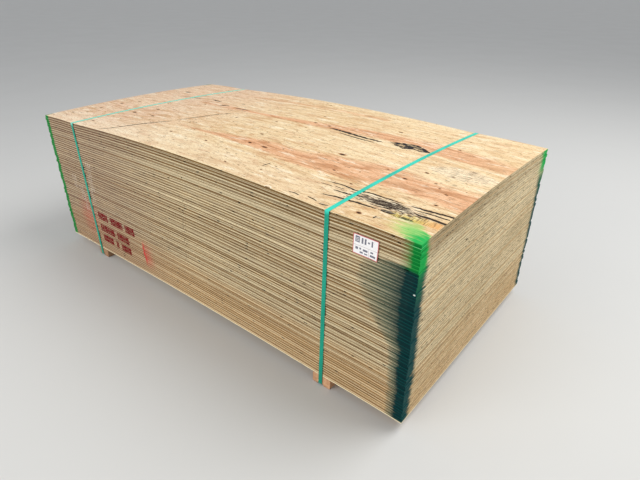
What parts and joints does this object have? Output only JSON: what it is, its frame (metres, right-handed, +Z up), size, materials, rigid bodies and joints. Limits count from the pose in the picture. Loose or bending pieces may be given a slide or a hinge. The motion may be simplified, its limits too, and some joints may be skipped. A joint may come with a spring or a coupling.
{
  "type": "strapped stack of plywood sheets",
  "caption": "Stack of plywood sheets on two timber bearers, held by two flat plastic straps, crowned between the straps, with sprayed edges and a paper tag.",
  "frame": {"origin": "on the floor under the middle of the pack", "axes": "+X along the sheets' length, +Y across their width, +Z up"},
  "size_m": [2.444, 1.2276, 0.8482],
  "materials": {
    "plywood": "softwood veneer plies, unsanded, sawn edges",
    "bearer_timber": "rough sawn softwood",
    "strapping": "embossed green polyester strap",
    "tag_paper": "white paper with a printed border"
  },
  "bodies": {
    "root": {"sheets_01_to_05": "plywood", "sheets_06_to_10": "plywood", "sheets_11_to_15": "plywood", "sheets_16_to_20": "plywood", "sheets_21_to_25": "plywood", "sheets_26_to_30": "plywood", "sheets_31_to_35": "plywood", "sheets_36_to_40": "plywood", "sheets_41_to_45": "plywood", "sheets_46_to_50": "plywood", "sheets_51_to_55": "plywood", "sheets_56_to_60": "plywood", "left_bearer": "bearer_timber", "right_bearer": "bearer_timber", "left_strap": "strapping", "right_strap": "strapping", "paper_tag": "tag_paper"}
  },
  "joints": []
}
